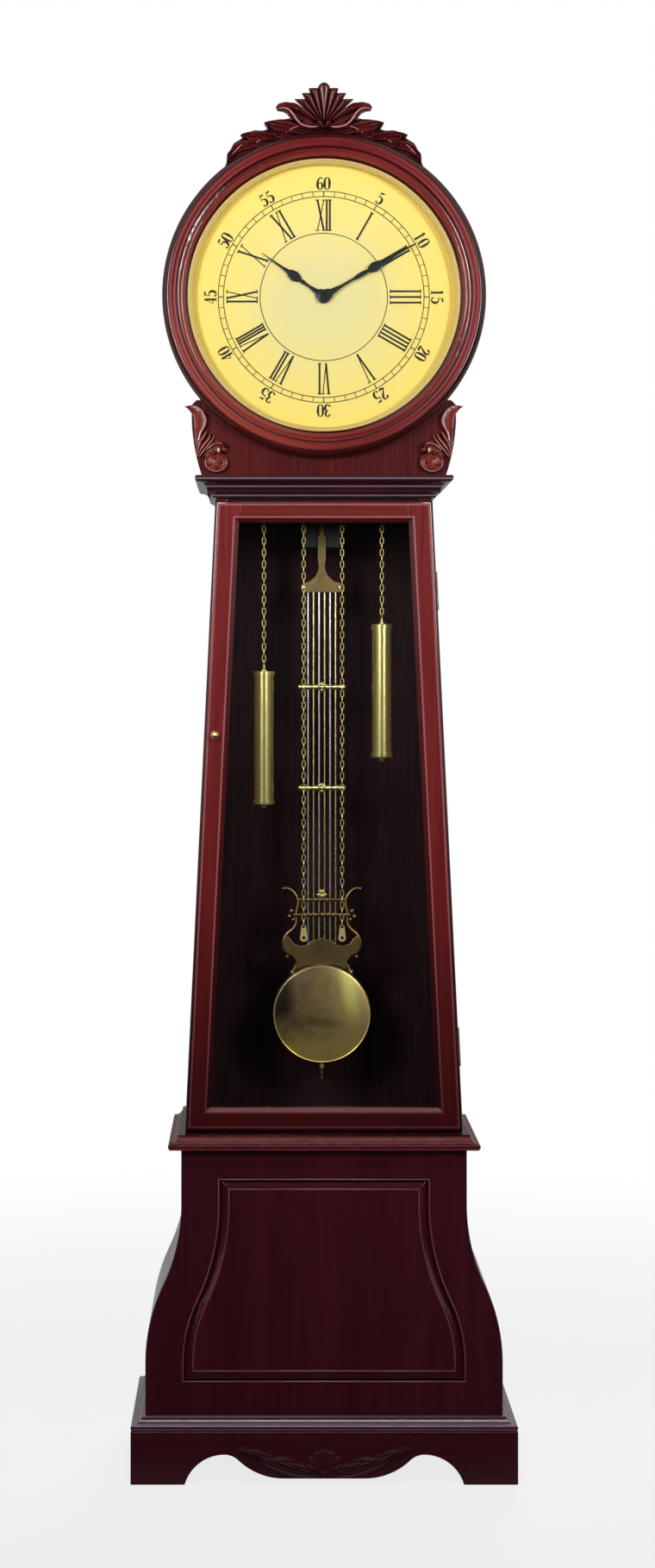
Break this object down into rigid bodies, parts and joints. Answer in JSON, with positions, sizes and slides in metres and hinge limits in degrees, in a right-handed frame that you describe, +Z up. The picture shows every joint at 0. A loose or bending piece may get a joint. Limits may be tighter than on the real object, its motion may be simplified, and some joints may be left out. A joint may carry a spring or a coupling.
{
  "type": "longcase clock",
  "caption": "Tall floor clock: round head with a turned ring and dial, tapered glazed trunk with pendulum and hanging weights, flared panelled base on a scalloped plinth.",
  "frame": {"origin": "on the floor, under the middle of the case's width and depth", "axes": "+Z up, -Y towards the viewer who reads the dial, +X to the viewer's right"},
  "size_m": [0.497, 0.2679, 1.7999],
  "materials": {
    "mahogany": "high gloss red-brown lacquer",
    "carved_mahogany": "gloss red-brown lacquer, darker in the cuts",
    "dark_board": "satin dark stain",
    "brass": "polished, lightly aged",
    "steel": "polished wire",
    "clear_glass": "clear, flat",
    "dial_print": "satin gold face with printed tracks and numerals",
    "black_lacquer": "satin black",
    "black_plastic": "fine moulded grain",
    "cell_sleeve": "plain printed sleeve"
  },
  "bodies": {
    "case": {"plinth_apron": "mahogany", "plinth_side_skirts": "mahogany", "plinth_back_rail": "mahogany", "plinth_moulding": "mahogany", "base_front_frame": "mahogany", "base_raised_panel": "mahogany", "base_left_side": "mahogany", "base_right_side": "mahogany", "waist_ledge": "mahogany", "trunk_left_side": "mahogany", "trunk_right_side": "mahogany", "neck_cornice": "mahogany", "hood_front_board": "mahogany", "hood_drum": "mahogany", "bezel_ring": "mahogany", "apron_carving": "carved_mahogany", "crest_carving": "carved_mahogany", "corner_carvings": "carved_mahogany", "base_back_panel": "dark_board", "base_floor_board": "dark_board", "trunk_floor_board": "dark_board", "trunk_back_panel": "dark_board", "trunk_top_board": "dark_board", "hood_back_cover": "dark_board", "dial_spacer": "dark_board", "sight_ring": "brass", "movement_bush": "brass", "hinge_case_leaves": "brass", "chain_hooks": "brass", "dial_glass": "clear_glass", "dial_plate": "dial_print", "movement_case": "black_plastic", "pendulum_drive": "black_plastic", "catch_magnet": "black_plastic", "movement_battery": "cell_sleeve"},
    "door": {"door_left_stile": "mahogany", "door_right_stile": "mahogany", "door_top_rail": "mahogany", "door_bottom_rail": "mahogany", "door_glass": "clear_glass", "door_glass_beads": "dark_board", "door_knob": "brass", "hinge_door_leaves": "brass", "catch_plate": "steel"},
    "minute_hand": {"minute_hand": "black_lacquer"},
    "hour_hand": {"hour_hand": "black_lacquer"},
    "pendulum": {"suspension_strip": "brass", "pendulum_leader": "brass", "pendulum_steel_rods": "steel", "pendulum_brass_rods": "brass", "pendulum_crossbars": "brass", "pendulum_lyre": "brass", "pendulum_bob": "brass", "rating_nut": "brass"},
    "left_weight": {"left_weight": "brass", "left_weight_chain": "brass"},
    "right_weight": {"right_weight": "brass", "right_weight_chain": "brass"},
    "left_pull": {"left_pull_chain": "brass"},
    "right_pull": {"right_pull_chain": "brass"}
  },
  "joints": [
    {"name": "door_hinge", "type": "hinge", "parent": "case", "child": "door", "pos_m": [0.1746, -0.08825, 0.55602], "axis": [-0.0481, 0, 0.9988], "range_deg": [0, 110]},
    {"name": "minute_spindle", "type": "hinge", "parent": "case", "child": "minute_hand", "pos_m": [0, -0.092, 1.526], "axis": [0, 1, 0], "continuous": true},
    {"name": "hour_spindle", "type": "hinge", "parent": "case", "child": "hour_hand", "pos_m": [0, -0.092, 1.526], "axis": [0, 1, 0], "continuous": true},
    {"name": "pendulum_pivot", "type": "hinge", "parent": "case", "child": "pendulum", "pos_m": [0, 0.024, 1.24], "axis": [0, 1, 0], "range_deg": [-5, 5]},
    {"name": "left_weight_hook", "type": "hinge", "parent": "case", "child": "left_weight", "pos_m": [-0.0773, -0.042, 1.2388], "axis": [0, 1, 0], "range_deg": [-3, 3]},
    {"name": "right_weight_hook", "type": "hinge", "parent": "case", "child": "right_weight", "pos_m": [0.0773, -0.042, 1.2388], "axis": [0, 1, 0], "range_deg": [-3, 3]},
    {"name": "left_pull_hook", "type": "hinge", "parent": "case", "child": "left_pull", "pos_m": [-0.0252, -0.042, 1.2388], "axis": [0, 1, 0], "range_deg": [-1.5, 1.5]},
    {"name": "right_pull_hook", "type": "hinge", "parent": "case", "child": "right_pull", "pos_m": [0.0252, -0.042, 1.2388], "axis": [0, 1, 0], "range_deg": [-1.5, 1.5]}
  ],
  "couplings": [
    {"joint": "hour_spindle", "follows": "minute_spindle", "ratio": 0.083333}
  ]
}
